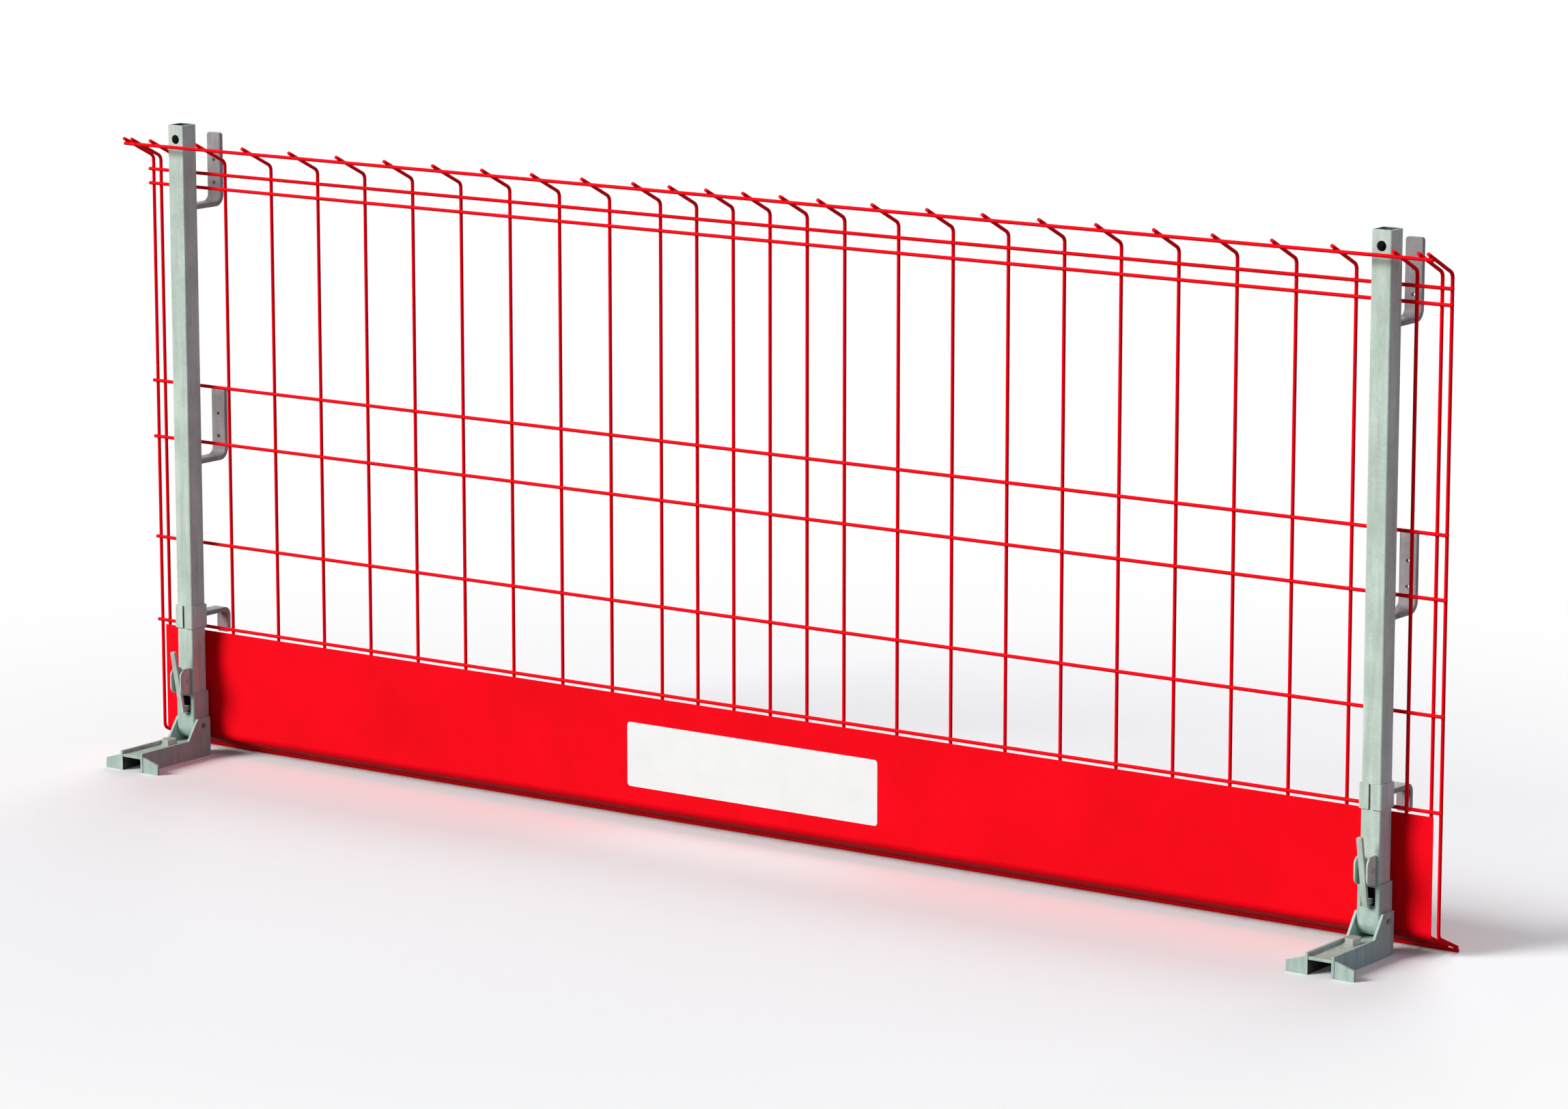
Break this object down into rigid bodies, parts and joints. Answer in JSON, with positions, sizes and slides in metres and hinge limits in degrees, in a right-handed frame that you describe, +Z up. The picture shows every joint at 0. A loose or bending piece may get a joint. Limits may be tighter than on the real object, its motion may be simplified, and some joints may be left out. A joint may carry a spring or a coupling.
{
  "type": "edge protection barrier",
  "caption": "Edge protection barrier for a slab edge: steel posts in bolted feet hold a red welded mesh panel with a toe board in hooks and locking collars.",
  "frame": {"origin": "on the floor, under the middle of the whole barrier", "axes": "+X along the barrier to the right, +Y from the drop side towards the slab, +Z up"},
  "size_m": [2.6, 0.256, 1.1215],
  "materials": {
    "galvanised_steel": "hot-dip galvanised, matt",
    "zinc_plated_steel": "bright zinc plated",
    "spring_steel": "plain",
    "red_coated_steel": "powder coated, matt",
    "white_film": "satin"
  },
  "bodies": {
    "posts_and_feet": {"left_foot_outer_plate": "galvanised_steel", "left_foot_inner_plate": "galvanised_steel", "left_foot_web": "galvanised_steel", "left_foot_outer_gusset": "galvanised_steel", "left_foot_inner_gusset": "galvanised_steel", "left_anchor_washer": "zinc_plated_steel", "left_anchor_bolt": "zinc_plated_steel", "left_socket": "galvanised_steel", "left_seat_pin": "zinc_plated_steel", "left_post": "galvanised_steel", "left_top_hook": "galvanised_steel", "left_middle_hook": "galvanised_steel", "left_ear_bracket": "galvanised_steel", "left_pivot_pin": "zinc_plated_steel", "right_foot_outer_plate": "galvanised_steel", "right_foot_inner_plate": "galvanised_steel", "right_foot_web": "galvanised_steel", "right_foot_outer_gusset": "galvanised_steel", "right_foot_inner_gusset": "galvanised_steel", "right_anchor_washer": "zinc_plated_steel", "right_anchor_bolt": "zinc_plated_steel", "right_socket": "galvanised_steel", "right_seat_pin": "zinc_plated_steel", "right_post": "galvanised_steel", "right_top_hook": "galvanised_steel", "right_middle_hook": "galvanised_steel", "right_ear_bracket": "galvanised_steel", "right_pivot_pin": "zinc_plated_steel"},
    "panel": {"upright_wires": "red_coated_steel", "rail_wires": "red_coated_steel", "top_edge_wire": "red_coated_steel", "bottom_edge_wire": "red_coated_steel", "toe_board": "red_coated_steel", "blank_plate": "white_film"},
    "left_lever_arm": {"left_lever": "galvanised_steel", "left_lever_spring": "spring_steel"},
    "left_locking_collar": {"left_collar": "galvanised_steel", "left_collar_hook": "galvanised_steel"},
    "right_lever_arm": {"right_lever": "galvanised_steel", "right_lever_spring": "spring_steel"},
    "right_locking_collar": {"right_collar": "galvanised_steel", "right_collar_hook": "galvanised_steel"}
  },
  "joints": [
    {"name": "panel_lift", "type": "slide", "parent": "posts_and_feet", "child": "panel", "axis": [0, 0, 1], "range_m": [0, 0.1]},
    {"name": "left_collar_slide", "type": "slide", "parent": "panel", "child": "left_locking_collar", "axis": [0, 0, 1], "range_m": [-0.013, 0.117]},
    {"name": "left_lever_press", "type": "hinge", "parent": "posts_and_feet", "child": "left_lever_arm", "pos_m": [-1.2, 0.00729, 0.1397], "axis": [-1, 0, 0], "range_deg": [0, 12], "stiffness_Nm_per_rad": 0.5, "springref_deg": -20.05},
    {"name": "right_collar_slide", "type": "slide", "parent": "panel", "child": "right_locking_collar", "axis": [0, 0, 1], "range_m": [-0.013, 0.117]},
    {"name": "right_lever_press", "type": "hinge", "parent": "posts_and_feet", "child": "right_lever_arm", "pos_m": [1.2, 0.00729, 0.1397], "axis": [-1, 0, 0], "range_deg": [0, 12], "stiffness_Nm_per_rad": 0.5, "springref_deg": -20.05}
  ]
}
